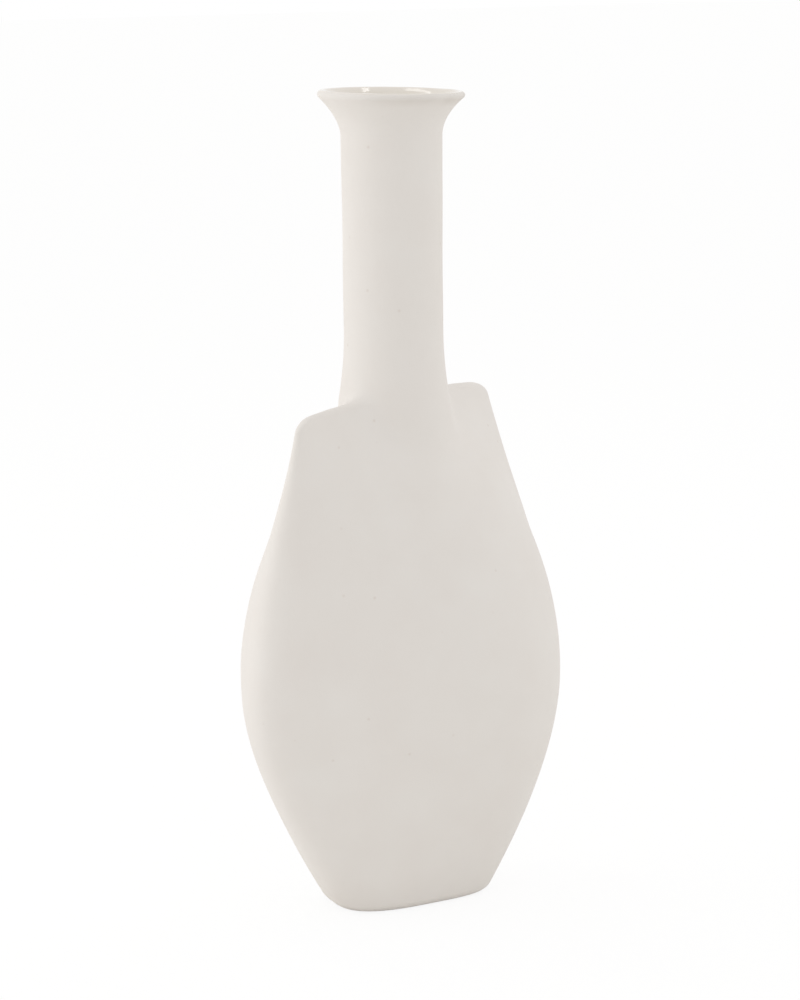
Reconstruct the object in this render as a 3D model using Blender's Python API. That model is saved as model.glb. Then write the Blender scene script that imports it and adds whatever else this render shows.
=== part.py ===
"""Long-neck vase: a slab-built stoneware body with a round neck and a flared lip.

The body is made of two equal slabs, each the other turned half round the vertical axis. They
meet at a sharp seam at the front left and one at the back right, and are softly bent at the
other two corners. Towards the top the bends close in on the axis, so that the body ends in a
thin ridge between the tips of the seams, and the neck stands across the middle of that ridge.

Units are metres, +Z is up, and the origin is the middle of the underside. -Y is the front: the
front slab is turned a few degrees to one side of it at the foot and to the other at the belly.
"""
import math

import bmesh
import bpy
import numpy as np

# Heights above the underside
HEIGHT = 0.401
RIDGE_HEIGHT = 0.2541
SEAM_BELLY_HEIGHT = 0.105
BEND_BELLY_HEIGHT = 0.121
BASE_THICKNESS = 0.006

# The sharp seams: distance from the axis, and direction in degrees from +X
SEAM_REACH_FOOT = 0.0433
SEAM_REACH_BELLY = 0.0937
SEAM_REACH_TIP = 0.0772
SEAM_TURN_FOOT = 34.8
SEAM_TURN_BELLY = 21.3
SEAM_TURN_TIP = 29.3
SEAM_SWELL = 1.63
SEAM_TAPER = 1.47

# The soft bends, which close in on the axis at the ridge
BEND_REACH_FOOT = 0.0422
BEND_REACH_BELLY = 0.0869
BEND_TURN_FOOT = -23.4
BEND_TURN_BELLY = -35.3
BEND_SWELL = 1.68
BEND_TAPER = 1.85

# How square the corners are: 2 is an ellipse, and higher is squarer
SEAM_SQUARENESS_FOOT = 2.5
SEAM_SQUARENESS_BELLY = 6.2
SEAM_SQUARENESS_TIP = 5.7
BEND_SQUARENESS_FOOT = 4.2
BEND_SQUARENESS_BELLY = 2.03
BEND_SQUARENESS_TIP = 2.0

# The ridge: half its thickness, the core inside it, its fall outwards, how far down the body that
# fall is felt, and its rounded tips
EDGE_RADIUS = 0.0024
RIDGE_CORE = 0.0008
RIDGE_SLOPE = 0.081
RIDGE_SLOPE_DEPTH = 0.065
TIP_DROP = 0.0065
TIP_LENGTH = 0.0127
FOOT_ROUNDING = 0.0044

# The neck, its foot and its lip
NECK_RADIUS = 0.0243
NECK_FOOT_FLARE = 0.0030
NECK_FOOT_HEIGHT = 0.032
NECK_FLARE_FADE = 0.013
NECK_ROOT_DEPTH = 0.035
NECK_FILLET = 0.008
LIP_RISE = 0.0185
LIP_FLARE = 0.0104
LIP_CURVE = 1.8
LIP_EDGE_RADIUS = 0.0020

# How much wider the fillet of the neck's root grows, and how much deeper its blend with the slabs,
# for each length down from the ridge
ROOT_FILLET_GROWTH = 1.0
ROOT_BLEND_GROWTH = 0.55

# Clay walls, the ridge's solid depth, the rounding of the hollow below it, the glaze, and the gap
# between pieces
BODY_WALL = 0.0062
NECK_WALL = 0.0045
RIDGE_SOLID = 0.0167
HOLLOW_CEILING = 0.030
GLAZE_THICKNESS = 0.0005
GAP = 0.0003

# Fineness of the meshes
BODY_SIDES = 72
ROUND_SIDES = 40
OUTLINE_SAMPLES = 480
CORNER_WEIGHT = 0.6
BODY_LEVELS = 24
HOLLOW_LEVELS = 20
CLOSING_STEPS = 4
COLLAR_STEPS = 4
NECK_LEVELS = 6
LIP_STEPS = 6
SHARP_ANGLE = 40
CUT_TOLERANCE = 1e-7

# Colours of fired clay and of the clear cream glaze inside
CLAY_COLOUR = (0.74, 0.69, 0.63, 1)
GLAZE_COLOUR = (0.80, 0.76, 0.70, 1)

RIDGE_DIRECTION = math.radians(SEAM_TURN_TIP)
COLLAR_TOP = RIDGE_HEIGHT + NECK_FILLET
LIP_SLOPE = math.atan2(LIP_CURVE * LIP_FLARE, LIP_RISE)
LIP_BOTTOM = HEIGHT - LIP_RISE - LIP_EDGE_RADIUS * (1 + math.sin(LIP_SLOPE))
BORE_RADIUS = NECK_RADIUS - NECK_WALL
HOLLOW_TOP = RIDGE_HEIGHT - RIDGE_SOLID
RIDGE_ROOT = NECK_RADIUS + NECK_FOOT_FLARE + NECK_FILLET


def through(z, foot, belly, tip, belly_height, low_power, high_power):
    """A size that runs from its foot value through its belly value to its value at the ridge."""
    if z < belly_height:
        return belly + (foot - belly) * (1 - z / belly_height) ** low_power
    share = min((z - belly_height) / (RIDGE_HEIGHT - belly_height), 1)
    return belly + (tip - belly) * share ** high_power


def polar(reach, degrees):
    angle = math.radians(degrees)
    return np.array([reach * math.cos(angle), reach * math.sin(angle)])


def tip_shortening(z):
    """How much the rounded tips of the ridge take off the seam's reach."""
    share = min(max(1 - (RIDGE_HEIGHT - z) / TIP_DROP, 0), 1)
    return TIP_LENGTH * (1 - math.sqrt(1 - share ** 2))


def seam_point(z):
    """The seam at the back right. The one at the front left lies opposite."""
    reach = through(z, SEAM_REACH_FOOT, SEAM_REACH_BELLY, SEAM_REACH_TIP,
                    SEAM_BELLY_HEIGHT, SEAM_SWELL, SEAM_TAPER)
    turn = through(z, SEAM_TURN_FOOT, SEAM_TURN_BELLY, SEAM_TURN_TIP, SEAM_BELLY_HEIGHT, 2, 2)
    return polar(reach - tip_shortening(z), turn)


def bend_point(z):
    """The bend at the front right. The one at the back left lies opposite."""
    reach = through(z, BEND_REACH_FOOT, BEND_REACH_BELLY, RIDGE_CORE,
                    BEND_BELLY_HEIGHT, BEND_SWELL, BEND_TAPER)
    turn = through(z, BEND_TURN_FOOT, BEND_TURN_BELLY, SEAM_TURN_TIP - 90, BEND_BELLY_HEIGHT, 2, 3)
    return polar(reach, turn)


def squareness(z, foot, belly, tip):
    return float(np.interp(z, [0, BEND_BELLY_HEIGHT, RIDGE_HEIGHT], [foot, belly, tip]))


def half_sides(z):
    """Half length and half depth of the clay core at a height, as two vectors."""
    seam, bend = seam_point(z), bend_point(z)
    return (seam + bend) / 2, (seam - bend) / 2


def section(z, half_length, half_depth):
    """Half of a rounded parallelogram, from the front left seam round to the back right one."""
    seam_square = squareness(z, SEAM_SQUARENESS_FOOT, SEAM_SQUARENESS_BELLY, SEAM_SQUARENESS_TIP)
    bend_square = squareness(z, BEND_SQUARENESS_FOOT, BEND_SQUARENESS_BELLY, BEND_SQUARENESS_TIP)
    turn = np.linspace(-0.75 * math.pi, 0.25 * math.pi, OUTLINE_SAMPLES + 1)
    cosine, sine = np.cos(turn), np.sin(turn)
    power = 2 / np.where(cosine * sine > 0, seam_square, bend_square)
    along = np.sign(cosine) * np.abs(cosine) ** power
    across = np.sign(sine) * np.abs(sine) ** power
    return along[:, None] * half_length + across[:, None] * half_depth


def grown(points, distance):
    """A half outline moved outwards. Its other half is the same, turned half round."""
    step = np.vstack([points[1:], -points[1]]) - np.vstack([-points[-2], points[:-1]])
    outward = np.column_stack([step[:, 1], -step[:, 0]])
    return points + distance * outward / np.linalg.norm(outward, axis=1)[:, None]


def far_edge(rays, centres, radius):
    """How far along each ray from the axis the discs round the centres reach."""
    along = rays @ centres.T
    across = rays[:, 0:1] * centres[:, 1] - rays[:, 1:2] * centres[:, 0]
    half = np.sqrt(np.maximum(radius ** 2 - across ** 2, 0))
    return np.where(np.abs(across) < radius, along + half, -1).max(axis=1)


def near_edge(rays, centres, radius):
    """How far along each ray from the axis the nearest of the discs begins."""
    along = rays @ centres.T
    across = rays[:, 0:1] * centres[:, 1] - rays[:, 1:2] * centres[:, 0]
    half = np.sqrt(np.maximum(radius ** 2 - across ** 2, 0))
    return np.where((np.abs(across) < radius) & (along > 0), along - half, 1).min(axis=1)


def joined_with_round(points, radius, fillet, blend=0):
    """A half outline united with a circle round the axis, with filleted inner corners.

    Where the outline and the circle come within the blend distance of each other they swell, so
    that one also fades into the other from one height to the next.
    """
    angle = np.unwrap(np.arctan2(points[:, 1], points[:, 0]))
    even = np.linspace(angle[0], angle[-1], OUTLINE_SAMPLES)
    angles = np.unique(np.concatenate([angle, even[1:-1]]))
    distance = np.interp(angles, angle, np.hypot(points[:, 0], points[:, 1]))
    nearness = np.maximum(blend - np.abs(distance - radius), 0)
    swelling = nearness ** 2 / (4 * blend) if blend > 0 else 0
    distance = np.maximum(distance, radius) + swelling
    rays = np.column_stack([np.cos(angles), np.sin(angles)])
    half = distance[:, None] * rays
    rolled = far_edge(rays, np.vstack([half, -half]), fillet)[:, None] * rays
    closed = near_edge(rays, np.vstack([rolled, -rolled]), fillet)
    return np.maximum(closed, distance)[:, None] * rays


def spaced(points, count):
    """Whole ring of points, closer together where the half outline turns sharply."""
    step = np.diff(points, axis=0)
    length = np.linalg.norm(step, axis=1)
    heading = np.unwrap(np.arctan2(step[:, 1], step[:, 0]))
    bend = np.abs(np.gradient(heading))
    weight = length / length.sum() + CORNER_WEIGHT * bend / bend.sum()
    place = np.concatenate([[0], np.cumsum(weight)])
    wanted = np.linspace(0, place[-1], count // 2 + 1)[:-1]
    half = np.column_stack([np.interp(wanted, place, points[:, k]) for k in (0, 1)])
    return np.vstack([half, -half])


def neck_radius(z):
    """Outer radius of the neck, which flares a little towards the ridge and levels off below it."""
    fall = min(max(RIDGE_HEIGHT + NECK_FOOT_HEIGHT - z, 0) / NECK_FOOT_HEIGHT, 1)
    below = min(max(RIDGE_HEIGHT - z, 0), NECK_FLARE_FADE)
    levelling = (2 * below - below ** 2 / NECK_FLARE_FADE) / NECK_FOOT_HEIGHT
    return NECK_RADIUS + NECK_FOOT_FLARE * (fall ** 2 + levelling)


def root_radius(z):
    """Radius of the neck's root inside the body, which dies away below the ridge."""
    depth = (RIDGE_HEIGHT - z) / NECK_ROOT_DEPTH
    fade = min(max(2 - depth, 0), 1)
    return neck_radius(z) * fade


def outer_ring(z, count):
    """One ring of the body's outside. Near the top it falls a little towards the tips."""
    outline = grown(section(z, *half_sides(z)), EDGE_RADIUS)
    if root_radius(z) > 0:
        depth = RIDGE_HEIGHT - z
        fillet = NECK_FILLET + ROOT_FILLET_GROWTH * depth
        outline = joined_with_round(outline, root_radius(z), fillet, ROOT_BLEND_GROWTH * depth)
    ring = spaced(outline, count)
    reach = np.hypot(ring[:, 0], ring[:, 1])
    share = min(max(1 - (RIDGE_HEIGHT - z) / RIDGE_SLOPE_DEPTH, 0), 1)
    fall = RIDGE_SLOPE * share * np.maximum(reach - RIDGE_ROOT, 0)
    return np.column_stack([ring, z - fall])


def foot_ring(z, count):
    """A ring within the rounded lower edge of the foot."""
    share = 1 - z / FOOT_ROUNDING
    inset = FOOT_ROUNDING * (1 - math.sqrt(1 - share ** 2))
    outline = grown(section(z, *half_sides(z)), EDGE_RADIUS - inset)
    return np.column_stack([spaced(outline, count), np.full(count, z)])


def closing_rings(top_ring, steps):
    """Rings that round the ridge over, with its two faces meeting on the ridge line."""
    ridge = np.array([math.cos(RIDGE_DIRECTION), math.sin(RIDGE_DIRECTION)])
    side = np.array([-ridge[1], ridge[0]])
    along = top_ring[:, :2] @ ridge
    across = top_ring[:, :2] @ side
    start = RIDGE_HEIGHT - EDGE_RADIUS
    beyond = np.maximum(np.abs(along) - RIDGE_ROOT, 0)
    share = np.clip((np.abs(along) - RIDGE_ROOT) / NECK_FILLET + 1, 0, 1)
    closeness = share ** 2 * (3 - 2 * share) * (np.abs(across) < NECK_RADIUS)
    longest = beyond.max()
    rings = []
    for step in range(1, steps + 1):
        angle = 0.5 * math.pi * step / steps
        z = start + EDGE_RADIUS * math.sin(angle)
        shorten = 1 - (tip_shortening(z) - tip_shortening(start)) / longest
        new_along = np.sign(along) * (np.abs(along) - beyond * (1 - shorten))
        new_across = across * (1 - closeness * (1 - math.cos(angle)))
        flat = new_along[:, None] * ridge + new_across[:, None] * side
        height = top_ring[:, 2] + EDGE_RADIUS * math.sin(angle) + RIDGE_SLOPE * beyond * (1 - shorten)
        rings.append(np.column_stack([flat, height]))
    return rings


def collar_rings(start, steps):
    """Rings that lead from the ridge line and the neck's root up to a round collar."""
    reach = np.hypot(start[:, 0], start[:, 1])
    rays = start[:, :2] / reach[:, None]
    rings = []
    for step in range(1, steps + 1):
        angle = 0.5 * math.pi * step / steps
        height = start[:, 2] + (COLLAR_TOP - start[:, 2]) * (1 - math.cos(angle))
        radius = np.array([neck_radius(z) for z in height])
        new_reach = radius + (reach - neck_radius(RIDGE_HEIGHT)) * (1 - math.sin(angle))
        rings.append(np.column_stack([new_reach[:, None] * rays, height]))
    return rings


def round_ring(radius, z):
    """A ring round the axis, with one of its points on the side where the seam is."""
    angles = RIDGE_DIRECTION + np.arange(ROUND_SIDES) / ROUND_SIDES * 2 * math.pi + math.pi
    flat = radius * np.column_stack([np.cos(angles), np.sin(angles)])
    return np.column_stack([flat, np.full(ROUND_SIDES, z)])


def inner_ring(z):
    """One ring of the hollow: the body's section less its wall, joined with the neck's bore."""
    bore = BORE_RADIUS * root_radius(z) / neck_radius(z)
    rise = max(1 - (HOLLOW_TOP - z) / HOLLOW_CEILING, 0)
    if rise >= 1:
        return round_ring(bore, z)
    half_length, half_depth = half_sides(z)
    area = abs(half_length[0] * half_depth[1] - half_length[1] * half_depth[0])
    wall = BODY_WALL - EDGE_RADIUS
    depth_share = 1 - wall * np.linalg.norm(half_length) / area
    length_share = 1 - wall * np.linalg.norm(half_depth) / area
    outline = section(z, length_share * half_length, depth_share * half_depth)
    ridge = polar(1, SEAM_TURN_TIP)
    outline -= (1 - math.sqrt(1 - rise ** 2)) * np.outer(outline @ ridge, ridge)
    ring = spaced(joined_with_round(outline, bore, NECK_FILLET), ROUND_SIDES)
    return np.column_stack([ring, np.full(ROUND_SIDES, z)])


def hollow_rings():
    """Rings of the body's hollow, from its floor up to its ceiling and on into the neck's bore."""
    levels = eased_levels(BASE_THICKNESS + GAP, HOLLOW_TOP, HOLLOW_LEVELS)
    return [inner_ring(z) for z in (*levels, COLLAR_TOP)]


def eased_levels(low, high, count):
    """Heights from low to high, closer together at both ends."""
    turn = np.linspace(0, math.pi, count)
    return low + (high - low) * (1 - np.cos(turn)) / 2


def lip_outside(steps):
    """Profile of the flare's outside, from the neck up to the rounded edge."""
    share = np.linspace(0, 1, steps + 1)
    radius = NECK_RADIUS + LIP_FLARE * share ** LIP_CURVE
    points = np.column_stack([radius, LIP_BOTTOM + LIP_RISE * share])
    growth = LIP_CURVE * LIP_FLARE * share ** (LIP_CURVE - 1)
    tangents = np.column_stack([growth, np.full(steps + 1, LIP_RISE)])
    return points, tangents / np.linalg.norm(tangents, axis=1)[:, None]


def lip_inside(steps):
    """Profile of the flare's inside, which thins from the neck's wall to the edge."""
    points, tangents = lip_outside(steps)
    share = np.linspace(0, 1, steps + 1)
    wall = NECK_WALL + (2 * LIP_EDGE_RADIUS - NECK_WALL) * share
    return points + wall[:, None] * np.column_stack([-tangents[:, 1], tangents[:, 0]])


def lip_profile(steps):
    """Closed profile of the lip: up its outside, over the rounded edge and down its inside."""
    outside, tangents = lip_outside(steps)
    inside = lip_inside(steps)
    centre = (outside[-1] + inside[-1]) / 2
    first = math.atan2(*(outside[-1] - centre)[::-1])
    turn = first + np.linspace(0, math.pi, steps + 1)[1:-1]
    edge = centre + LIP_EDGE_RADIUS * np.column_stack([np.cos(turn), np.sin(turn)])
    profile = np.vstack([outside, edge, inside[::-1]])
    profile[0, 1] += GAP / 2
    profile[-1, 1] = profile[0, 1]
    return profile


def add_ring(mesh, ring):
    return [mesh.verts.new(point) for point in ring]


def add_skin(mesh, lower, upper, outwards=True):
    """Faces between two rings that run anticlockwise and have as many points."""
    for index in range(len(lower)):
        after = (index + 1) % len(lower)
        face = [lower[index], lower[after], upper[after], upper[index]]
        mesh.faces.new(face if outwards else face[::-1])


def add_annulus(mesh, wide, narrow, upwards=True):
    """Flat faces between two rings at one height, with any number of points each."""
    def angles(loop):
        return np.unwrap([math.atan2(vert.co.y, vert.co.x) for vert in loop + loop[:1]])
    wide_angles, narrow_angles = angles(wide), angles(narrow)
    offset = 2 * math.pi * round((wide_angles[0] - narrow_angles[0]) / (2 * math.pi))
    narrow_angles = narrow_angles + offset
    wide_step, narrow_step = 0, 0
    while wide_step < len(wide) or narrow_step < len(narrow):
        wide_vert = wide[wide_step % len(wide)]
        narrow_vert = narrow[narrow_step % len(narrow)]
        next_wide = wide_angles[min(wide_step + 1, len(wide))]
        next_narrow = narrow_angles[min(narrow_step + 1, len(narrow))]
        widen = narrow_step == len(narrow) or (wide_step < len(wide) and next_wide <= next_narrow)
        if widen:
            wide_step += 1
            face = [wide_vert, wide[wide_step % len(wide)], narrow_vert]
        else:
            narrow_step += 1
            face = [wide_vert, narrow[narrow_step % len(narrow)], narrow_vert]
        mesh.faces.new(face if upwards else face[::-1])


def material(name, colour, roughness):
    made = bpy.data.materials.new(name)
    made.use_nodes = True
    shader = made.node_tree.nodes["Principled BSDF"]
    shader.inputs["Base Color"].default_value = colour
    shader.inputs["Roughness"].default_value = roughness
    shader.inputs["Metallic"].default_value = 0.0
    return made


def add_object(name, mesh, surface):
    """Turns a bmesh into a named, smoothly shaded object."""
    data = bpy.data.meshes.new(name)
    bmesh.ops.triangulate(mesh, faces=[face for face in mesh.faces if len(face.verts) > 4])
    mesh.to_mesh(data)
    mesh.free()
    data.shade_smooth()
    data.set_sharp_from_angle(angle=math.radians(SHARP_ANGLE))
    data.materials.append(surface)
    made = bpy.data.objects.new(name, data)
    bpy.context.scene.collection.objects.link(made)
    return made


def make_base_slab(surface):
    """The flat slab under the body, with its lower edge rounded."""
    mesh = bmesh.new()
    turn = np.linspace(0, math.pi / 2, CLOSING_STEPS + 1)
    heights = list(FOOT_ROUNDING * (1 - np.cos(turn))) + [BASE_THICKNESS]
    rings = [add_ring(mesh, foot_ring(min(z, FOOT_ROUNDING), BODY_SIDES)) for z in heights[:-1]]
    rings.append(add_ring(mesh, outer_ring(heights[-1], BODY_SIDES)))
    for lower, upper in zip(rings, rings[1:]):
        add_skin(mesh, lower, upper)
    mesh.faces.new(rings[0][::-1])
    mesh.faces.new(rings[-1])
    return add_object("base_slab", mesh, surface)


def add_body_outside(mesh):
    """The outside of both slabs, closed along the ridge. Returns its lowest and highest rings."""
    top = RIDGE_HEIGHT - EDGE_RADIUS
    levels = eased_levels(BASE_THICKNESS + GAP, top, BODY_LEVELS)
    shapes = [outer_ring(z, BODY_SIDES) for z in levels]
    closing = closing_rings(shapes[-1], CLOSING_STEPS)
    shapes += closing[:-1]
    rings = [add_ring(mesh, shape) for shape in shapes]

    # Beyond the neck's root the front and back points of the ridge line are one
    last = closing[-1]
    half = BODY_SIDES // 2
    on_wing = np.abs(last[:, :2] @ polar(1, SEAM_TURN_TIP)) > RIDGE_ROOT
    merged = int(min(on_wing[:half // 2].sum(), on_wing[-half // 2:].sum() + 1)) - 1
    ridge_ring = [None] * BODY_SIDES
    for index in range(BODY_SIDES):
        twin = (BODY_SIDES - index) % BODY_SIDES
        step = min(index % half, half - index % half)
        if step <= merged and ridge_ring[twin] is not None:
            ridge_ring[index] = ridge_ring[twin]
        elif step <= merged:
            ridge_ring[index] = mesh.verts.new((last[index] + last[twin]) / 2)
        else:
            ridge_ring[index] = mesh.verts.new(last[index])
    rings.append(ridge_ring)
    for lower, upper in zip(rings, rings[1:]):
        add_skin(mesh, lower, upper)

    front = ridge_ring[merged:half - merged + 1]
    back = ridge_ring[half + merged + 1:BODY_SIDES - merged]
    root = front + back
    collar = [root]
    collar += [add_ring(mesh, ring) for ring in collar_rings(np.array([v.co for v in root]), COLLAR_STEPS)]
    for lower, upper in zip(collar, collar[1:]):
        add_skin(mesh, lower, upper)
    return rings[0], collar[-1]


def make_shells(surface):
    """The two slabs, cut apart on the upright plane that holds the ridge line."""
    for name, turn in (("front_shell", 0), ("back_shell", math.pi)):
        mesh = bmesh.new()
        outer_foot, outer_top = add_body_outside(mesh)
        rings = [add_ring(mesh, ring) for ring in hollow_rings()]
        for lower, upper in zip(rings, rings[1:]):
            add_skin(mesh, lower, upper, outwards=False)
        add_annulus(mesh, outer_foot, rings[0], upwards=False)
        add_annulus(mesh, outer_top, rings[-1])
        across = polar(1, SEAM_TURN_TIP + 90)
        cut = bmesh.ops.bisect_plane(
            mesh, geom=mesh.verts[:] + mesh.edges[:] + mesh.faces[:], dist=CUT_TOLERANCE,
            plane_co=(*(-GAP / 2 * across), 0), plane_no=(*across, 0), clear_outer=True)
        edges = [item for item in cut["geom_cut"] if isinstance(item, bmesh.types.BMEdge)]
        bmesh.ops.holes_fill(mesh, edges=edges, sides=0)
        bmesh.ops.recalc_face_normals(mesh, faces=mesh.faces)
        shell = add_object(name, mesh, surface)
        shell.rotation_euler.z = turn


def spun(profile):
    """A closed profile of radii and heights turned round the vertical axis."""
    mesh = bmesh.new()
    rings = []
    for radius, height in profile:
        rings.append(add_ring(mesh, round_ring(radius, height)))
    for lower, upper in zip(rings, rings[1:] + rings[:1]):
        add_skin(mesh, lower, upper)
    return mesh


def make_neck_tube(surface):
    """The round tube between the collar on the body and the lip."""
    heights = eased_levels(COLLAR_TOP + GAP / 2, LIP_BOTTOM - GAP / 2, NECK_LEVELS)
    outside = [(neck_radius(z), z) for z in heights]
    inside = [(BORE_RADIUS, heights[-1]), (BORE_RADIUS, heights[0])]
    return add_object("neck_tube", spun(outside + inside), surface)


def make_lip(surface):
    """The flared lip with its rounded edge."""
    return add_object("flared_lip", spun(lip_profile(LIP_STEPS)), surface)


def make_glaze_lining(surface):
    """The coat of glaze over the whole inside, up to just below the rounded edge of the lip."""
    mesh = bmesh.new()
    shapes = hollow_rings()
    shapes[0][:, 2] = BASE_THICKNESS
    for radius, height in lip_inside(LIP_STEPS)[:-1]:
        shapes.append(round_ring(radius, height))
    rings = [add_ring(mesh, shape) for shape in shapes]
    for lower, upper in zip(rings, rings[1:]):
        add_skin(mesh, lower, upper, outwards=False)
    mesh.faces.new(rings[0])
    mesh.normal_update()
    moves = [(vert, vert.normal * vert.calc_shell_factor()) for vert in mesh.verts]
    for vert, inwards in moves:
        vert.co += GAP * inwards
    bmesh.ops.solidify(mesh, geom=mesh.faces[:], thickness=-GLAZE_THICKNESS)
    bmesh.ops.recalc_face_normals(mesh, faces=mesh.faces)
    return add_object("glaze_lining", mesh, surface)


for old in list(bpy.data.objects):
    bpy.data.objects.remove(old, do_unlink=True)

clay = material("Bisque stoneware", CLAY_COLOUR, 0.75)
glaze = material("Cream glaze", GLAZE_COLOUR, 0.12)

make_base_slab(clay)
make_shells(clay)
make_neck_tube(clay)
make_lip(clay)
make_glaze_lining(glaze)
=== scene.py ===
"""Long-neck vase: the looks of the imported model, as one skin of bisque clay and one coat of glaze.

Lengths are in metres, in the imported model's frame: +Z is up, the origin is the middle of the
underside, and -Y is the front.
"""

import math

import bmesh
import bpy
import numpy as np
from mathutils import Matrix, Vector, noise


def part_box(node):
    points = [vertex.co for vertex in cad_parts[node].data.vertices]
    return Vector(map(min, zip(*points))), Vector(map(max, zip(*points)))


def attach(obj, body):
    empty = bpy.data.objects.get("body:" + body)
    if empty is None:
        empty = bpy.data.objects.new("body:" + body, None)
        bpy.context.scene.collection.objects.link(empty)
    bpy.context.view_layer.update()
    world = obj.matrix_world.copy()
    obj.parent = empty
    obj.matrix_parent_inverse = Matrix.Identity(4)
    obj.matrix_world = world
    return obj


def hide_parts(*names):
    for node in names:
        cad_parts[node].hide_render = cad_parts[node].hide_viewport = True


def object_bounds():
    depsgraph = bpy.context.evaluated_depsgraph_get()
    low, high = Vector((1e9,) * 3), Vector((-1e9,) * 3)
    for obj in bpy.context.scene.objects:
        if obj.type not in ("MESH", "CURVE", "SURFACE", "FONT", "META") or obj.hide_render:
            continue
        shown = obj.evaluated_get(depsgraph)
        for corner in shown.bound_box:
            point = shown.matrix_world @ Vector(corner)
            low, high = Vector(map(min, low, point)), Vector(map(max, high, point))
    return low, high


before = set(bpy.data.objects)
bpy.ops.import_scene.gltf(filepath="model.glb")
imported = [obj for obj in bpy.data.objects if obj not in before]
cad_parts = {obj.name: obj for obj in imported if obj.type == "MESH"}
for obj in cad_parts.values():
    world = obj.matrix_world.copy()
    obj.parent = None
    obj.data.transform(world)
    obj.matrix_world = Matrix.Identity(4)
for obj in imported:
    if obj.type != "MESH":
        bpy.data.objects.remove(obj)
cad_low, cad_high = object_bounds()

# The body
# Two slabs of pale stoneware, each the other turned half round, luted together along a sharp upright
# seam at the front left and at the back right. They bend softly at the other two corners and are
# pinched into a thin ridge at the shoulders. A third slab closes the foot.

# Heights above the underside
RIDGE_HEIGHT = 0.2541
SEAM_BELLY_HEIGHT = 0.105
BEND_BELLY_HEIGHT = 0.121

# The sharp seams: distance from the axis, and direction in degrees from +X
SEAM_REACH_FOOT = 0.0433
SEAM_REACH_BELLY = 0.0937
SEAM_REACH_TIP = 0.0772
SEAM_TURN_FOOT = 34.8
SEAM_TURN_BELLY = 21.3
SEAM_TURN_TIP = 29.3
SEAM_SWELL = 1.63
SEAM_TAPER = 1.47

# The soft bends, likewise, which close in on the axis at the ridge
BEND_REACH_FOOT = 0.0422
BEND_REACH_BELLY = 0.0869
BEND_TURN_FOOT = -23.4
BEND_TURN_BELLY = -35.3
BEND_SWELL = 1.68
BEND_TAPER = 1.85

# How square the corners are at the foot, the belly and the ridge: 2 is an ellipse
SEAM_SQUARENESS = (2.5, 6.2, 5.7)
BEND_SQUARENESS = (4.2, 2.03, 2.0)

# The ridge: its thickness is twice these two, it falls a little outwards, and its tips are rounded
EDGE_RADIUS = 0.0024
RIDGE_CORE = 0.0008
RIDGE_SLOPE = 0.081
RIDGE_SLOPE_DEPTH = 0.065
TIP_DROP = 0.0065
TIP_LENGTH = 0.0127

# The rounded lower edge of the foot
FOOT_ROUNDING = 0.0044

# The neck's root, round which the slabs swell
NECK_RADIUS = 0.0243
NECK_FOOT_FLARE = 0.0030
NECK_FOOT_HEIGHT = 0.032
NECK_FLARE_FADE = 0.013
NECK_ROOT_DEPTH = 0.035
NECK_FILLET = 0.008
ROOT_FILLET_GROWTH = 1.0
ROOT_BLEND_GROWTH = 0.55
RIDGE_ROOT = NECK_RADIUS + NECK_FOOT_FLARE + NECK_FILLET

# How finely the skin is drawn, closer together where it turns sharply
BODY_SIDES = 240
BODY_LEVELS = 110
OUTLINE_SAMPLES = 300
CORNER_WEIGHT = 0.5
FOOT_STEPS = 8
RIDGE_STEPS = 10


def through(z, foot, belly, tip, belly_height, low_power, high_power):
    """A size that runs from its foot value through its belly value to its value at the ridge."""
    if z < belly_height:
        return belly + (foot - belly) * (1 - z / belly_height) ** low_power
    share = min((z - belly_height) / (RIDGE_HEIGHT - belly_height), 1)
    return belly + (tip - belly) * share ** high_power


def polar(reach, degrees):
    """The point at a distance from the axis, in a direction counted from +X."""
    angle = math.radians(degrees)
    return np.array([reach * math.cos(angle), reach * math.sin(angle)])


ridge_line = polar(1, SEAM_TURN_TIP)


def tip_shortening(z):
    """How much the rounded tips of the ridge take off the seam's reach."""
    share = min(max(1 - (RIDGE_HEIGHT - z) / TIP_DROP, 0), 1)
    return TIP_LENGTH * (1 - math.sqrt(1 - share ** 2))


def half_sides(z):
    """Half length and half depth of the body's core at a height, from its seam and its bend."""
    seam_reach = through(z, SEAM_REACH_FOOT, SEAM_REACH_BELLY, SEAM_REACH_TIP,
                         SEAM_BELLY_HEIGHT, SEAM_SWELL, SEAM_TAPER)
    seam_turn = through(z, SEAM_TURN_FOOT, SEAM_TURN_BELLY, SEAM_TURN_TIP,
                        SEAM_BELLY_HEIGHT, low_power=2, high_power=2)
    bend_reach = through(z, BEND_REACH_FOOT, BEND_REACH_BELLY, RIDGE_CORE,
                         BEND_BELLY_HEIGHT, BEND_SWELL, BEND_TAPER)
    bend_turn = through(z, BEND_TURN_FOOT, BEND_TURN_BELLY, SEAM_TURN_TIP - 90,
                        BEND_BELLY_HEIGHT, low_power=2, high_power=3)
    seam = polar(seam_reach - tip_shortening(z), seam_turn)
    bend = polar(bend_reach, bend_turn)
    return (seam + bend) / 2, (seam - bend) / 2


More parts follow.
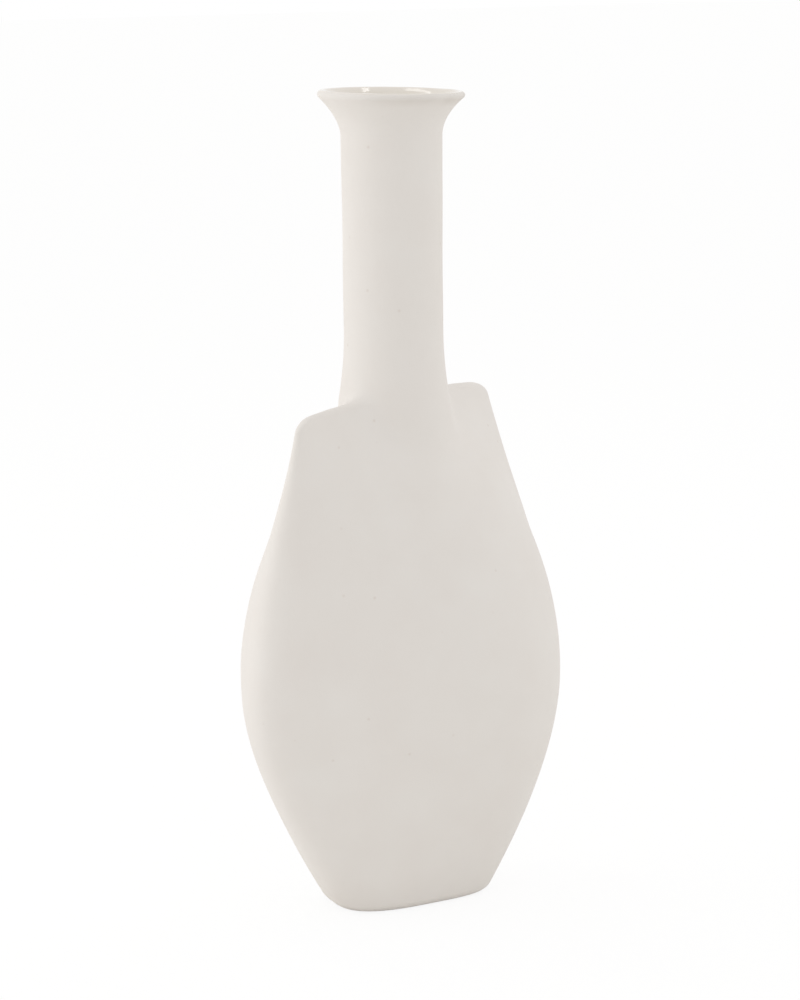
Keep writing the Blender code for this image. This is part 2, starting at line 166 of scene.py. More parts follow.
def section(z, half_length, half_depth):
    """Half of a rounded parallelogram, from the front left seam round to the back right one."""
    heights = [0, BEND_BELLY_HEIGHT, RIDGE_HEIGHT]
    seam_square = np.interp(z, heights, SEAM_SQUARENESS)
    bend_square = np.interp(z, heights, BEND_SQUARENESS)
    turn = np.linspace(-0.75 * math.pi, 0.25 * math.pi, OUTLINE_SAMPLES + 1)
    cosine, sine = np.cos(turn), np.sin(turn)
    power = 2 / np.where(cosine * sine > 0, seam_square, bend_square)
    along = np.sign(cosine) * np.abs(cosine) ** power
    across = np.sign(sine) * np.abs(sine) ** power
    return along[:, None] * half_length + across[:, None] * half_depth


def grown(points, distance):
    """A half outline moved outwards. Its other half is the same, turned half round."""
    step = np.vstack([points[1:], -points[1]]) - np.vstack([-points[-2], points[:-1]])
    outward = np.column_stack([step[:, 1], -step[:, 0]])
    return points + distance * outward / np.linalg.norm(outward, axis=1)[:, None]


def directions(turns):
    """Rays of length 1 from the axis."""
    return np.column_stack([np.cos(turns), np.sin(turns)])


def disc_reach(rays, centres, radius, far):
    """How far along each ray from the axis the discs round the centres end, or begin.

    A disc that a ray misses counts as ending 1 m behind the axis, or beginning 1 m away.
    """
    along = rays @ centres.T
    across = rays[:, 0:1] * centres[:, 1] - rays[:, 1:2] * centres[:, 0]
    half = np.sqrt(np.maximum(radius ** 2 - across ** 2, 0))
    met = np.abs(across) < radius
    if far:
        return np.where(met, along + half, -1).max(axis=1)
    return np.where(met & (along > 0), along - half, 1).min(axis=1)


def joined_with_round(points, radius, fillet, blend=0):
    """A half outline united with a circle round the axis, with filleted inner corners.

    Where the outline and the circle come within the blend distance of each other they swell, so
    that one also fades into the other from one height to the next.
    """
    angle = np.unwrap(np.arctan2(points[:, 1], points[:, 0]))
    even = np.linspace(angle[0], angle[-1], OUTLINE_SAMPLES)
    angles = np.unique(np.concatenate([angle, even[1:-1]]))
    distance = np.interp(angles, angle, np.hypot(points[:, 0], points[:, 1]))
    nearness = np.maximum(blend - np.abs(distance - radius), 0)
    swelling = nearness ** 2 / (4 * blend) if blend > 0 else 0
    distance = np.maximum(distance, radius) + swelling
    rays = directions(angles)
    half = distance[:, None] * rays
    rolled = disc_reach(rays, np.vstack([half, -half]), fillet, far=True)[:, None] * rays
    closed = disc_reach(rays, np.vstack([rolled, -rolled]), fillet, far=False)
    return np.maximum(closed, distance)[:, None] * rays


def spaced(points, count):
    """Whole ring of points, closer together where the half outline turns sharply."""
    step = np.diff(points, axis=0)
    length = np.linalg.norm(step, axis=1)
    heading = np.unwrap(np.arctan2(step[:, 1], step[:, 0]))
    bend = np.abs(np.gradient(heading))
    weight = length / length.sum() + CORNER_WEIGHT * bend / bend.sum()
    place = np.concatenate([[0], np.cumsum(weight)])
    wanted = np.linspace(0, place[-1], count // 2 + 1)[:-1]
    half = np.column_stack([np.interp(wanted, place, points[:, k]) for k in (0, 1)])
    return np.vstack([half, -half])


def eased_levels(low, high, count):
    """Heights from low to high, closer together at both ends."""
    turn = np.linspace(0, math.pi, count)
    return low + (high - low) * (1 - np.cos(turn)) / 2


def neck_radius(z):
    """Outer radius of the neck, which flares a little towards the ridge and levels off below it."""
    fall = min(max(RIDGE_HEIGHT + NECK_FOOT_HEIGHT - z, 0) / NECK_FOOT_HEIGHT, 1)
    below = min(max(RIDGE_HEIGHT - z, 0), NECK_FLARE_FADE)
    levelling = (2 * below - below ** 2 / NECK_FLARE_FADE) / NECK_FOOT_HEIGHT
    return NECK_RADIUS + NECK_FOOT_FLARE * (fall ** 2 + levelling)


def root_share(z):
    """How much of the neck's roundness is left inside the body, where it dies away."""
    share = min(max(2 - (RIDGE_HEIGHT - z) / NECK_ROOT_DEPTH, 0), 1)
    return share ** 2 * (3 - 2 * share)


def body_ring(z):
    """One ring of the body's outside. Near the top it falls a little towards the tips."""
    outline = grown(section(z, *half_sides(z)), EDGE_RADIUS)
    if root_share(z) > 0:
        depth = RIDGE_HEIGHT - z
        outline = joined_with_round(outline, neck_radius(z) * root_share(z),
                                    NECK_FILLET + ROOT_FILLET_GROWTH * depth, ROOT_BLEND_GROWTH * depth)
    ring = spaced(outline, BODY_SIDES)
    beyond = np.maximum(np.hypot(ring[:, 0], ring[:, 1]) - RIDGE_ROOT, 0)
    share = min(max(1 - (RIDGE_HEIGHT - z) / RIDGE_SLOPE_DEPTH, 0), 1)
    return np.column_stack([ring, z - RIDGE_SLOPE * share * beyond])


def foot_rings():
    """Rings of the rounded lower edge, from the flat underside up."""
    rings = []
    for turn in np.linspace(0, math.pi / 2, FOOT_STEPS + 1)[:-1]:
        z = FOOT_ROUNDING * (1 - math.cos(turn))
        outline = grown(section(z, *half_sides(z)), EDGE_RADIUS - FOOT_ROUNDING * (1 - math.sin(turn)))
        rings.append(np.column_stack([spaced(outline, BODY_SIDES), np.full(BODY_SIDES, z)]))
    return rings


def pinched_rings(top_ring):
    """Rings that round the ridge over, with its two faces meeting on the ridge line."""
    side = np.array([-ridge_line[1], ridge_line[0]])
    along = top_ring[:, :2] @ ridge_line
    across = top_ring[:, :2] @ side
    start = RIDGE_HEIGHT - EDGE_RADIUS
    beyond = np.maximum(np.abs(along) - RIDGE_ROOT, 0)
    share = np.clip((np.abs(along) - RIDGE_ROOT) / NECK_FILLET + 1, 0, 1)
    closeness = share ** 2 * (3 - 2 * share) * (np.abs(across) < NECK_RADIUS)
    rings = []
    for angle in np.linspace(0, math.pi / 2, RIDGE_STEPS + 1)[1:]:
        z = start + EDGE_RADIUS * math.sin(angle)
        shortened = (tip_shortening(z) - tip_shortening(start)) / beyond.max()
        new_along = np.sign(along) * (np.abs(along) - beyond * shortened)
        new_across = across * (1 - closeness * (1 - math.cos(angle)))
        narrowing = (1 - closeness) * (1 - neck_radius(z) / neck_radius(start))
        flat = (np.outer(new_along, ridge_line) + np.outer(new_across, side)) * (1 - narrowing)[:, None]
        height = top_ring[:, 2] + EDGE_RADIUS * math.sin(angle) + RIDGE_SLOPE * beyond * shortened
        rings.append(np.column_stack([flat, height]))
    return rings


def add_ring(mesh, ring):
    """Adds a ring's points to the mesh."""
    return [mesh.verts.new(point) for point in ring]


def add_skin(mesh, lower, upper):
    """Faces between two rings that run anticlockwise and have as many points."""
    for index in range(len(lower)):
        after = (index + 1) % len(lower)
        corners = [lower[index], lower[after], upper[after], upper[index]]
        if corners[2] is corners[3]:
            corners.pop()
        mesh.faces.new(corners)


def add_body(mesh):
    """Adds the body's outside to the mesh, and returns the loop that the neck rises from."""
    shapes = foot_rings()
    shapes += [body_ring(z) for z in eased_levels(FOOT_ROUNDING, RIDGE_HEIGHT - EDGE_RADIUS, BODY_LEVELS)]
    shapes += pinched_rings(shapes[-1])
    rings = [add_ring(mesh, shape) for shape in shapes[:-1]]
    mesh.faces.new(rings[0][::-1])

    # On the wings the front and back points of the ridge line are one
    last = shapes[-1]
    half = BODY_SIDES // 2
    on_wing = np.abs(last[:, :2] @ ridge_line) > RIDGE_ROOT
    merged = int(min(on_wing[:half // 2].sum(), on_wing[-half // 2:].sum() + 1)) - 1
    ridge = [None] * BODY_SIDES
    for index in range(BODY_SIDES):
        twin = (BODY_SIDES - index) % BODY_SIDES
        if min(index % half, half - index % half) > merged:
            ridge[index] = mesh.verts.new(last[index])
        elif ridge[twin] is not None:
            ridge[index] = ridge[twin]
        else:
            ridge[index] = mesh.verts.new((last[index] + last[twin]) / 2)
    rings.append(ridge)
    for lower, upper in zip(rings, rings[1:]):
        add_skin(mesh, lower, upper)
    return ridge[merged:half - merged + 1] + ridge[half + merged + 1:BODY_SIDES - merged]


clay = bmesh.new()
neck_foot = add_body(clay)

# The neck
# A straight round tube of the same clay, set across the middle of the ridge. The joint is smoothed
# with a wet finger, so that the tube grows out of the body without a line. Being set by hand, the
# ridge is a millimetre aside and the neck leans by half a degree.
NECK_WALL = 0.0045
COLLAR_TOP = RIDGE_HEIGHT + NECK_FILLET
COLLAR_STEPS = 14
NECK_LEVELS = 40
SMOOTHED_HEIGHT = 0.022
SMOOTHED_REACH = 0.046
SMOOTHING_ROUNDS = 30
LEAN_START = 0.18
LEAN_TURN = -21.0
RIDGE_ASIDE = -0.0010
LIP_ASIDE = 0.0005


def round_ring(rays, radius, z):
    """One level ring round the axis, with a point on each ray."""
    return np.column_stack([radius * rays, np.full(len(rays), z)])


def collar_rings(start, even_turns):
    """Rings that lead from the neck's root on the ridge up to a round collar of even steps."""
    turns = np.unwrap(np.arctan2(start[:, 1], start[:, 0]))
    reach = np.hypot(start[:, 0], start[:, 1])
    rings = []
    for angle in np.linspace(0, math.pi / 2, COLLAR_STEPS + 1)[1:]:
        new_turns = turns + (even_turns - turns) * math.sin(angle) ** 2
        beyond = np.interp(new_turns, turns, reach, period=2 * math.pi) - neck_radius(RIDGE_HEIGHT)
        height = start[:, 2] + (COLLAR_TOP - start[:, 2]) * (1 - math.cos(angle))
        radius = np.array([neck_radius(z) for z in height])
        new_reach = radius + beyond * (1 - math.sin(angle))
        rings.append(np.column_stack([new_reach[:, None] * directions(new_turns), height]))
    return rings


def lean(verts):
    """Sets the ridge a little aside from the foot's axis, and leans the neck back over it."""
    for vert in verts:
        rise = min(max((vert.co.z - LEAN_START) / (RIDGE_HEIGHT - LEAN_START), 0), 1)
        above = max(vert.co.z - RIDGE_HEIGHT, 0) / (cad_high.z - RIDGE_HEIGHT)
        aside = RIDGE_ASIDE * rise ** 2 + (LIP_ASIDE - RIDGE_ASIDE) * above
        vert.co.xy += Vector(polar(aside, LEAN_TURN))


root = np.array([vert.co for vert in neck_foot])
even_turns = math.atan2(root[0, 1], root[0, 0]) + 2 * math.pi * np.arange(len(root)) / len(root)
rays = directions(even_turns)
tube_levels = np.linspace(COLLAR_TOP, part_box("flared_lip")[0].z, NECK_LEVELS)[1:]
shapes = collar_rings(root, even_turns) + [round_ring(rays, neck_radius(z), z) for z in tube_levels]
rings = [neck_foot] + [add_ring(clay, shape) for shape in shapes]
for lower, upper in zip(rings, rings[1:]):
    add_skin(clay, lower, upper)

joint = [vert for vert in clay.verts
         if abs(vert.co.z - RIDGE_HEIGHT) < SMOOTHED_HEIGHT and vert.co.xy.length < SMOOTHED_REACH]
for _ in range(SMOOTHING_ROUNDS):
    bmesh.ops.smooth_vert(clay, verts=joint, factor=0.5, use_axis_x=True, use_axis_y=True, use_axis_z=True)

# The lip
# The top of the tube, opened outwards with the fingers and thinned to a rounded edge that isn't
# quite level or quite round. The glaze comes up to this edge from the inside.
LIP_RISE = 0.0185
LIP_FLARE = 0.0104
LIP_CURVE = 1.8
LIP_EDGE_RADIUS = 0.0020
LIP_WANDER = 0.0002
LIP_TILT = 0.0021
LOW_SIDE_OF_LIP = -35.0
LIP_STEPS = 24
GLAZE_THICKNESS = 0.0003
LIP_SLOPE = math.atan2(LIP_CURVE * LIP_FLARE, LIP_RISE)
LIP_BOTTOM = cad_high.z - GLAZE_THICKNESS - LIP_RISE - LIP_EDGE_RADIUS * (1 + math.sin(LIP_SLOPE))


def lip_outside():
    """Profile of the flare's outside, as radii and heights, and its directions."""
    share = np.linspace(0, 1, LIP_STEPS + 1)
    radius = NECK_RADIUS + LIP_FLARE * share ** LIP_CURVE
    points = np.column_stack([radius, LIP_BOTTOM + LIP_RISE * share])
    growth = LIP_CURVE * LIP_FLARE * share ** (LIP_CURVE - 1)
    tangents = np.column_stack([growth, np.full(LIP_STEPS + 1, LIP_RISE)])
    return points, tangents / np.linalg.norm(tangents, axis=1)[:, None]


def lip_inside(coat):
    """Profile of the flare's inside under a coat, from the edge down to the neck's bore."""
    points, tangents = lip_outside()
    share = np.linspace(0, 1, LIP_STEPS + 1)
    wall = NECK_WALL + (2 * LIP_EDGE_RADIUS - NECK_WALL) * share + coat
    return (points + wall[:, None] * np.column_stack([-tangents[:, 1], tangents[:, 0]]))[::-1]


def lip_edge(turns, coat):
    """Points of the rounded edge under a coat, at angles from its outermost point up and over."""
    points, tangents = lip_outside()
    centre = points[-1] + LIP_EDGE_RADIUS * np.array([-tangents[-1, 1], tangents[-1, 0]])
    radius = LIP_EDGE_RADIUS + np.asarray(coat)
    return centre + np.column_stack([radius * np.cos(turns), radius * np.sin(turns)])


def unevenness(point, size, seed):
    """A smooth value from 0 to 1 that wanders over distances of about the given size."""
    place = Vector(point) / size + Vector((seed, 2.7 * seed, 5.1 * seed))
    # The noise seldom passes 0.6 either way, so it is stretched to fill the range
    return 0.5 + 0.5 * max(-1, min(1, 1.6 * noise.noise(place)))


def bend_lip(verts):
    """Tilts the lip towards its low side, and lowers and draws it in a little, unevenly round it."""
    low_side = Vector(polar(1, LOW_SIDE_OF_LIP))
    for vert in verts:
        share = (max(vert.co.z - LIP_BOTTOM, 0) / (cad_high.z - LIP_BOTTOM)) ** 2
        side = vert.co.xy.normalized()
        round_the_rim = (*(side * NECK_RADIUS), 0)
        vert.co.z -= share * LIP_TILT * (1 + side.dot(low_side)) / 2
        vert.co.z -= share * LIP_WANDER * unevenness(round_the_rim, size=0.020, seed=3)
        narrowing = LIP_WANDER / NECK_RADIUS * unevenness(round_the_rim, size=0.024, seed=5)
        vert.co.xy *= 1 - share * narrowing


edge_turns = np.linspace(-LIP_SLOPE, math.pi - LIP_SLOPE, LIP_STEPS + 1)[1:-1]
profile = np.vstack([lip_outside()[0][1:], lip_edge(edge_turns, 0), lip_inside(0)])
shapes = [round_ring(rays, radius, z) for radius, z in profile]
lip_rings = rings[-1:] + [add_ring(clay, shape) for shape in shapes]
for lower, upper in zip(lip_rings, lip_rings[1:]):
    add_skin(clay, lower, upper)

# The hollow
# The slabs' inner faces and the tube's bore, under the glaze. The ridge is solid clay, and below it
# the hollow's ceiling rounds over into the bore.
BODY_WALL = 0.0062
RIDGE_SOLID = 0.0167
HOLLOW_CEILING = 0.030
HOLLOW_LEVELS = 40
INNER_SIDES = 96
HOLLOW_TOP = RIDGE_HEIGHT - RIDGE_SOLID


def inner_round_ring(radius, z):
    """One level ring of the inside, which starts at the front left seam as the others there do."""
    turns = math.radians(SEAM_TURN_TIP) + math.pi * (1 + 2 * np.arange(INNER_SIDES) / INNER_SIDES)
    return round_ring(directions(turns), radius, z)


def hollow_ring(z, coat):
    """One ring of the hollow: the body's section less its wall and a coat, joined with the bore."""
    bore = (NECK_RADIUS - NECK_WALL - coat) * root_share(z)
    rise = max(1 - (HOLLOW_TOP - coat - z) / HOLLOW_CEILING, 0)
    if rise >= 1:
        return inner_round_ring(bore, z)
    half_length, half_depth = half_sides(z)
    area = abs(half_length[0] * half_depth[1] - half_length[1] * half_depth[0])
    wall = BODY_WALL - EDGE_RADIUS + coat
    depth_share = 1 - wall * np.linalg.norm(half_length) / area
    length_share = 1 - wall * np.linalg.norm(half_depth) / area
    outline = section(z, length_share * half_length, depth_share * half_depth)
    outline -= (1 - math.sqrt(1 - rise ** 2)) * np.outer(outline @ ridge_line, ridge_line)
    if bore > 0:
        outline = joined_with_round(outline, bore, NECK_FILLET)
    return np.column_stack([spaced(outline, INNER_SIDES), np.full(INNER_SIDES, z)])


def hollow_shapes(coat):
    """Rings of the inside, from the neck's bore down to the floor."""
    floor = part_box("base_slab")[1].z + coat
    levels = eased_levels(floor, HOLLOW_TOP - coat, HOLLOW_LEVELS)
    return [hollow_ring(z, coat) for z in (COLLAR_TOP, *levels[::-1])]


def add_sheet(mesh, shapes, first=()):
    """Adds rings of points joined by faces, closed by a floor at the last one."""
    rings = list(first) + [add_ring(mesh, shape) for shape in shapes]
    for lower, upper in zip(rings, rings[1:]):
        add_skin(mesh, lower, upper)
    mesh.faces.new(rings[-1])


def join_loops(mesh, outer, inner):
    """Faces between two round loops with any number of points each."""
    edges = [mesh.edges.get((loop[k - 1], loop[k])) or mesh.edges.new((loop[k - 1], loop[k]))
             for loop in (outer, inner) for k in range(len(loop))]
    bmesh.ops.bridge_loops(mesh, edges=edges)


def as_piece(name, mesh, material, slot, *nodes):
    """Turns a bmesh into a smooth, named piece that stands for CAD nodes."""
    bmesh.ops.recalc_face_normals(mesh, faces=mesh.faces)
    data = bpy.data.meshes.new(name)
    mesh.to_mesh(data)
    mesh.free()
    data.shade_smooth()
    data.materials.append(material)
    piece = bpy.data.objects.new(name, data)
    bpy.context.scene.collection.objects.link(piece)
    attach(piece, "root")
    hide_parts(*nodes)


bore_top = add_ring(clay, inner_round_ring(NECK_RADIUS - NECK_WALL, LIP_BOTTOM - NECK_WALL))
join_loops(clay, lip_rings[-1], bore_top)
add_sheet(clay, hollow_shapes(0), first=[bore_top])
bend_lip(clay.verts)
lean(clay.verts)

# The clay's surface
# Stoneware fired once without a glaze, which leaves it dry, chalky and matt. It is smoothed with a
# sponge and a rib while damp, so it keeps low swells, and its fine grog shows as a faint grain.
SWELL_DEPTH = 0.0003
SWELL_SIZE = 0.035
SKIN_INSET = 0.00015
# Top and bottom of the band of painted shade below the lip's edge, measured down from it
LIP_SHADE_TOP = 0.0002
LIP_SHADE_BOTTOM = 0.0068
RIM_HEIGHT = cad_high.z - LIP_TILT / 2


def linear(hex_colour):
    """An sRGB colour written as hex, in the linear values that the shaders take."""
    parts = [int(hex_colour[k:k + 2], 16) / 255 for k in (1, 3, 5)]
    return (*(c / 12.92 if c <= 0.04045 else ((c + 0.055) / 1.055) ** 2.4 for c in parts), 1)


def new_material(name):
    """A material without any nodes yet."""
    material = bpy.data.materials.new(name)
    material.use_nodes = True
    material.node_tree.nodes.clear()
    return material


def add_node(tree, kind, settings=()):
    """Adds a node. Its settings name properties, and inputs with a value or an output to link."""
    node = tree.nodes.new(kind)
    inputs = {socket.identifier: socket for socket in node.inputs}
    for name, value in dict(settings).items():
        if name not in inputs:
            setattr(node, name, value)
        elif isinstance(value, bpy.types.NodeSocket):
            tree.links.new(value, inputs[name])
        else:
            inputs[name].default_value = value
    return node


def bisque_stoneware():
    """Pale once-fired clay, dry and off-white in faint clouds, with painted shade in a band below the
    glaze's edge.
    """
    material = new_material("Bisque stoneware")
    tree = material.node_tree
    place = add_node(tree, "ShaderNodeTexCoord").outputs["Object"]

    # Clouds 30 mm across, where the clay dried or was rubbed unevenly
    clouds = add_node(tree, "ShaderNodeTexNoise", {"Vector": place, "Scale": 1 / 0.030, "Detail": 3.0})
    cloudy = add_node(tree, "ShaderNodeMix", {
        "data_type": "RGBA", "Factor_Float": clouds.outputs["Fac"],
        "A_Color": linear("#E9E3DD"), "B_Color": linear("#EEEAE5")})

    # Iron specks some 15 mm apart, which fade out within 1.2 mm, faint because the clay covers them
    specks = add_node(tree, "ShaderNodeTexVoronoi", {"Vector": place, "Scale": 1 / 0.015})
    near = add_node(tree, "ShaderNodeMapRange", {
        "interpolation_type": "SMOOTHSTEP", "Value": specks.outputs["Distance"],
        "From Max": 0.0012 / 0.015, "To Min": 1.0, "To Max": 0.0})
    speckled = add_node(tree, "ShaderNodeMix", {
        "data_type": "RGBA", "Factor_Float": near.outputs["Result"],
        "A_Color": cloudy.outputs[2], "B_Color": linear("#E3DBD4")})

    # The first 7 mm below the lip's edge are painted a shade darker, as painted shade under the lip's
    # rounded edge, most in their middle and on the low side, away from the left light. They run level with
    # the edge.
    slope = polar(LIP_TILT / 2 / (NECK_RADIUS + LIP_FLARE), LOW_SIDE_OF_LIP)
    level = add_node(tree, "ShaderNodeVectorMath", {
        "operation": "DOT_PRODUCT", "Vector": place, "Vector_001": (*slope, 1)})
    band = add_node(tree, "ShaderNodeMapRange", {
        "Value": level.outputs["Value"],
        "From Min": RIM_HEIGHT - LIP_SHADE_BOTTOM, "From Max": RIM_HEIGHT - LIP_SHADE_TOP})
    peak = add_node(tree, "ShaderNodeMath", {
        "operation": "PINGPONG", "Value": band.outputs["Result"], "Value_001": 0.5})
    # From none on the high side to twice over on the low side, as the middle of the band counts a half
    lowness = add_node(tree, "ShaderNodeVectorMath", {
        "operation": "DOT_PRODUCT", "Vector": place,
        "Vector_001": (*polar(1 / NECK_RADIUS, LOW_SIDE_OF_LIP), 0)})
    low_side_weight = add_node(tree, "ShaderNodeMapRange", {
        "Value": lowness.outputs["Value"], "From Min": -0.5, "From Max": 1.0, "To Max": 2.0})
    # Patches 12 mm across keep 0.4 of it or more
    patches = add_node(tree, "ShaderNodeTexNoise", {"Vector": place, "Scale": 1 / 0.012, "Detail": 1.0})
    patchy = add_node(tree, "ShaderNodeMapRange", {
        "Value": patches.outputs["Fac"], "From Min": 0.35, "From Max": 0.6, "To Min": 0.4})
    uneven = add_node(tree, "ShaderNodeMath", {
        "operation": "MULTIPLY", "Value": low_side_weight.outputs["Result"],
        "Value_001": patchy.outputs["Result"]})
    lip_shade = add_node(tree, "ShaderNodeMath", {
        "operation": "MULTIPLY", "Value": peak.outputs["Value"], "Value_001": uneven.outputs["Value"]})
    # Painted shade below the lip's edge, darkening the clay's colour
    lip_shaded = add_node(tree, "ShaderNodeMix", {
        "data_type": "RGBA", "Factor_Float": lip_shade.outputs["Value"],
        "A_Color": speckled.outputs[2], "B_Color": linear("#DED8D1")})

    # Grog of 0.3 mm, drawn at 0.7 mm so that it shows
    grain = add_node(tree, "ShaderNodeTexNoise", {"Vector": place, "Scale": 1 / 0.0007, "Detail": 2.0})
    bump = add_node(tree, "ShaderNodeBump", {
        "Height": grain.outputs["Fac"], "Strength": 0.15, "Distance": 0.0002})
    shader = add_node(tree, "ShaderNodeBsdfPrincipled", {
        "Base Color": lip_shaded.outputs[2], "Roughness": 0.85, "IOR": 1.5, "Specular IOR Level": 0.25,
        "Normal": bump.outputs["Normal"]})
    add_node(tree, "ShaderNodeOutputMaterial", {"Surface": shader.outputs["BSDF"]})
    return material


clay.normal_update()
for vert in clay.verts:
    below_lip = min(max(LIP_BOTTOM - vert.co.z, 0) / SWELL_SIZE, 1)
    above_foot = min(vert.co.z / SWELL_SIZE, 1)
    inset = SKIN_INSET + SWELL_DEPTH * unevenness(vert.co, SWELL_SIZE, seed=1)
    vert.co -= inset * below_lip * above_foot * vert.normal
as_piece("fired_clay", clay, bisque_stoneware(), "bisque_clay",
         "base_slab", "front_shell", "back_shell", "neck_tube", "flared_lip")

# The glaze
# A clear cream glaze poured in, swirled and poured out before the firing. It covers the inside from
# the floor up to the crest of the lip's edge, where it ends in a thin, wandering bead.
GLAZE_THIN_DEPTH = 0.006

# The bead: where it ends and how far that wanders, in radians over the lip's edge from its outermost
# point, the rings that it rises in, and its least thickness and its foot's depth as shares of the coat
GLAZE_END = 1.05
GLAZE_END_WANDER = 0.60
BEAD_STEPS = 5
BEAD_THINNEST = 0.4
BEAD_SINK = 0.3


def glaze_edge_rings():
    """Rings from the bead's foot, sunk into the outside of the lip's edge, over to the inside of it."""
    rays = inner_round_ring(1, 0)[:, :2]
    rim = [(*(NECK_RADIUS * ray), 0) for ray in rays]
    wander = np.array([unevenness(point, size=0.012, seed=7) for point in rim]) - 0.5
    ends = GLAZE_END + GLAZE_END_WANDER * wander
    lumps = np.array([unevenness(point, size=0.009, seed=11) for point in rim])
    thickness = GLAZE_THICKNESS * (BEAD_THINNEST + (1 - BEAD_THINNEST) * lumps)
    rings = []
    for step in range(LIP_STEPS + 1):
        share = step / LIP_STEPS
        turns = ends + (math.pi - LIP_SLOPE - ends) * share
        rise = min(step / BEAD_STEPS, 1)
        roundness = math.sqrt(rise * (2 - rise))
        profile = lip_edge(turns, thickness * ((1 + BEAD_SINK) * roundness - BEAD_SINK))
        rings.append(np.column_stack([profile[:, :1] * rays, profile[:, 1]]))
    return rings


def cream_glaze():
    """Clear glossy glaze on pale clay, wet-looking, thin and pale at the lip, creamy where it pooled."""
    material = new_material("Cream glaze")
    tree = material.node_tree
    place = add_node(tree, "ShaderNodeTexCoord").outputs["Object"]

    # It runs down while wet, so it is thinnest in the top 6 mm, and pools in patches 12 mm across
    height = add_node(tree, "ShaderNodeSeparateXYZ", {"Vector": place}).outputs["Z"]
    thinness = add_node(tree, "ShaderNodeMapRange", {
        "Value": height, "From Min": cad_high.z - GLAZE_THIN_DEPTH, "From Max": cad_high.z})
    pools = add_node(tree, "ShaderNodeTexNoise", {"Vector": place, "Scale": 1 / 0.012, "Detail": 2.0})
    pooled = add_node(tree, "ShaderNodeMix", {
        "data_type": "RGBA", "Factor_Float": pools.outputs["Fac"],
        "A_Color": linear("#E4DDD0"), "B_Color": linear("#EBE5DB")})
    thinned = add_node(tree, "ShaderNodeMix", {
        "data_type": "RGBA", "Factor_Float": thinness.outputs["Result"],
        "A_Color": pooled.outputs[2], "B_Color": linear("#ECE5DD")})

    # Faint ripples 6 mm across, from the pouring
    ripples = add_node(tree, "ShaderNodeTexNoise", {"Vector": place, "Scale": 1 / 0.006, "Detail": 1.0})
    bump = add_node(tree, "ShaderNodeBump", {
        "Height": ripples.outputs["Fac"], "Strength": 0.3, "Distance": 0.0004})
    shader = add_node(tree, "ShaderNodeBsdfPrincipled", {
        "Base Color": thinned.outputs[2], "Roughness": 0.08, "IOR": 1.52,
        "Normal": bump.outputs["Normal"]})
    add_node(tree, "ShaderNodeOutputMaterial", {"Surface": shader.outputs["BSDF"]})
    return material


glaze = bmesh.new()
shapes = glaze_edge_rings()
shapes += [inner_round_ring(radius, z) for radius, z in lip_inside(GLAZE_THICKNESS)[1:]]
shapes += hollow_shapes(GLAZE_THICKNESS)
add_sheet(glaze, shapes)
bend_lip(glaze.verts)
lean(glaze.verts)
as_piece("glaze_coat", glaze, cream_glaze(), "cream_glaze", "glaze_lining")

# The studio
# A white floor that runs into a white surround, which also lights the vase from all round, one broad
# soft light at the left, weaker ones at the right and above the camera, and two small ones above the
# mouth. The camera stands a little above the rim.
WHITE = linear("#FFFFFF")
FLOOR_SIZE = 60.0
FLOOR_GLOW = 1.03
FLOOR_GLOW_SHARE = 0.85
SURROUND_SEEN = 1.0
SURROUND_LIGHT = 0.82

# The camera's place from the foot's middle, its angles in degrees, and its focal length
CAMERA_DISTANCE = 1.2886
CAMERA_HEIGHT = 0.4545
CAMERA_TURN = -21.27
CAMERA_ASIDE = 0.0007
CAMERA_PITCH = 11.11
CAMERA_ROLL = -1.20
FOCAL_LENGTH_IN_PIXELS = 2687
PICTURE_HEIGHT_IN_PIXELS = 1000


def seen_directly(tree):
    """1 where the camera, a gloss or a glass looks at the surface, and 0 where light bounces off it."""
    path = add_node(tree, "ShaderNodeLightPath")
    glossy = add_node(tree, "ShaderNodeMath", {
        "operation": "MAXIMUM", "Value": path.outputs["Is Camera Ray"],
        "Value_001": path.outputs["Is Glossy Ray"]})
    glassy = add_node(tree, "ShaderNodeMath", {
        "operation": "MAXIMUM", "Value": glossy.outputs["Value"],
        "Value_001": path.outputs["Is Transmission Ray"]})
    return glassy.outputs["Value"]


def studio_floor():
    """Matt white board, shown as white but for part of the object's shadow."""
    material = new_material("Studio floor")
    tree = material.node_tree
    board = add_node(tree, "ShaderNodeBsdfPrincipled", {"Base Color": linear("#F4F3F1"), "Roughness": 0.9})
    glow = add_node(tree, "ShaderNodeEmission", {"Color": WHITE, "Strength": FLOOR_GLOW})

    # What is seen is mostly glow, and the rest is the lit board, which holds the shadow
    share = add_node(tree, "ShaderNodeMath", {
        "operation": "MULTIPLY", "Value": seen_directly(tree), "Value_001": FLOOR_GLOW_SHARE})
    mix = add_node(tree, "ShaderNodeMixShader", {
        "Fac": share.outputs["Value"], "Shader": board.outputs["BSDF"],
        "Shader_001": glow.outputs["Emission"]})
    add_node(tree, "ShaderNodeOutputMaterial", {"Surface": mix.outputs["Shader"]})
    return material


bpy.ops.mesh.primitive_plane_add(size=FLOOR_SIZE)
floor = bpy.context.object
floor.name = "studio_floor"
floor.data.materials.append(studio_floor())

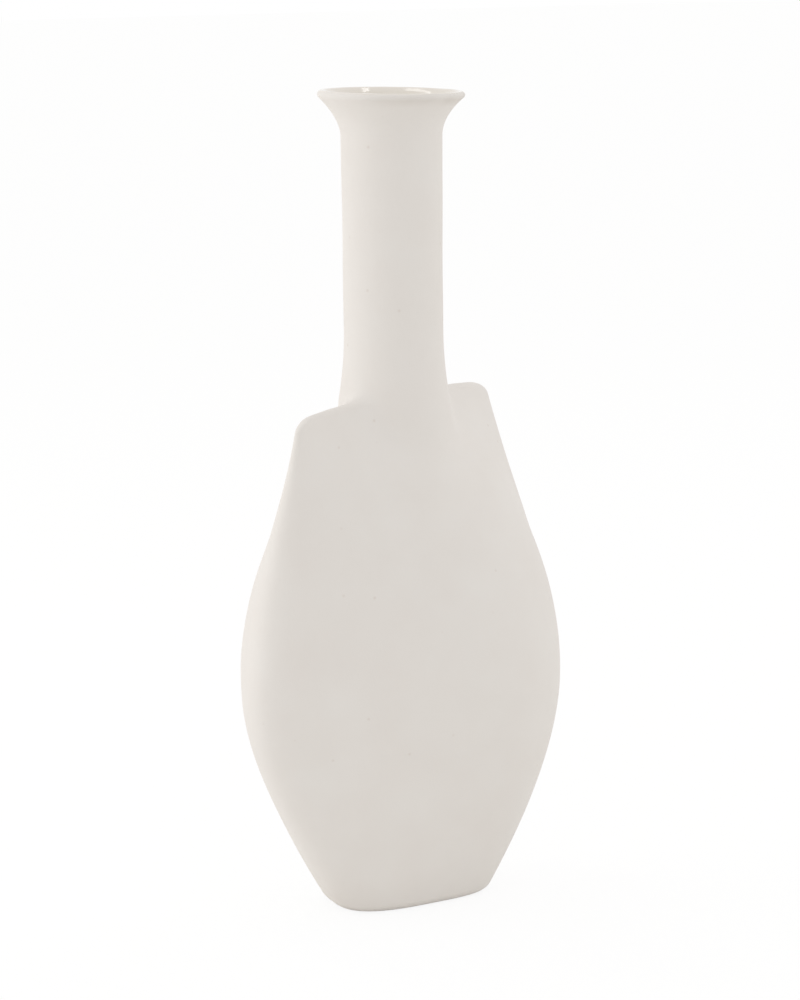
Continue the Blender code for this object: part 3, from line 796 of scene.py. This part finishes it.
world = bpy.data.worlds.new("Studio")
world.use_nodes = True
world.node_tree.nodes.clear()
strength = add_node(world.node_tree, "ShaderNodeMapRange", {
    "Value": seen_directly(world.node_tree), "To Min": SURROUND_LIGHT, "To Max": SURROUND_SEEN})
surround = add_node(world.node_tree, "ShaderNodeBackground", {
    "Color": WHITE, "Strength": strength.outputs["Result"]})
add_node(world.node_tree, "ShaderNodeOutputWorld", {"Surface": surround.outputs["Background"]})
bpy.context.scene.world = world


def add_softbox(name, turn, height, distance, width, length, power):
    """A soft light round the object, turned from the camera's side, aimed at its middle."""
    data = bpy.data.lights.new(name, "AREA")
    data.shape = "RECTANGLE"
    data.size = width
    data.size_y = length
    data.energy = power
    lamp = bpy.data.objects.new(name, data)
    bpy.context.scene.collection.objects.link(lamp)
    angle = math.radians(turn + CAMERA_TURN)
    lamp.location = (distance * math.sin(angle), -distance * math.cos(angle), height)
    aim = Vector((0, 0, cad_high.z / 2)) - lamp.location
    lamp.rotation_euler = aim.to_track_quat("-Z", "Y").to_euler()


add_softbox("left_softbox", turn=-95, height=0.4, distance=1.6, width=1.2, length=1.2, power=6.5)
add_softbox("right_softbox", turn=115, height=0.4, distance=1.6, width=1.0, length=1.0, power=2.4)
add_softbox("front_softbox", turn=5, height=1.0, distance=0.8, width=1.0, length=0.7, power=0.32)
add_softbox("top_left_softbox", turn=-133, height=1.7, distance=0.62, width=0.16, length=0.6, power=0.9)
add_softbox("top_right_softbox", turn=124, height=1.7, distance=0.60, width=0.18, length=0.16, power=0.36)

camera = bpy.data.objects.new("camera", bpy.data.cameras.new("camera"))
bpy.context.scene.collection.objects.link(camera)
bpy.context.scene.camera = camera
camera.data.lens = camera.data.sensor_width * FOCAL_LENGTH_IN_PIXELS / PICTURE_HEIGHT_IN_PIXELS
camera.matrix_world = (Matrix.Rotation(math.radians(CAMERA_TURN), 4, "Z")
                       @ Matrix.Translation((CAMERA_ASIDE, -CAMERA_DISTANCE, CAMERA_HEIGHT))
                       @ Matrix.Rotation(math.radians(90 - CAMERA_PITCH), 4, "X")
                       @ Matrix.Rotation(math.radians(CAMERA_ROLL), 4, "Z"))
bpy.context.scene.view_settings.view_transform = "Standard"
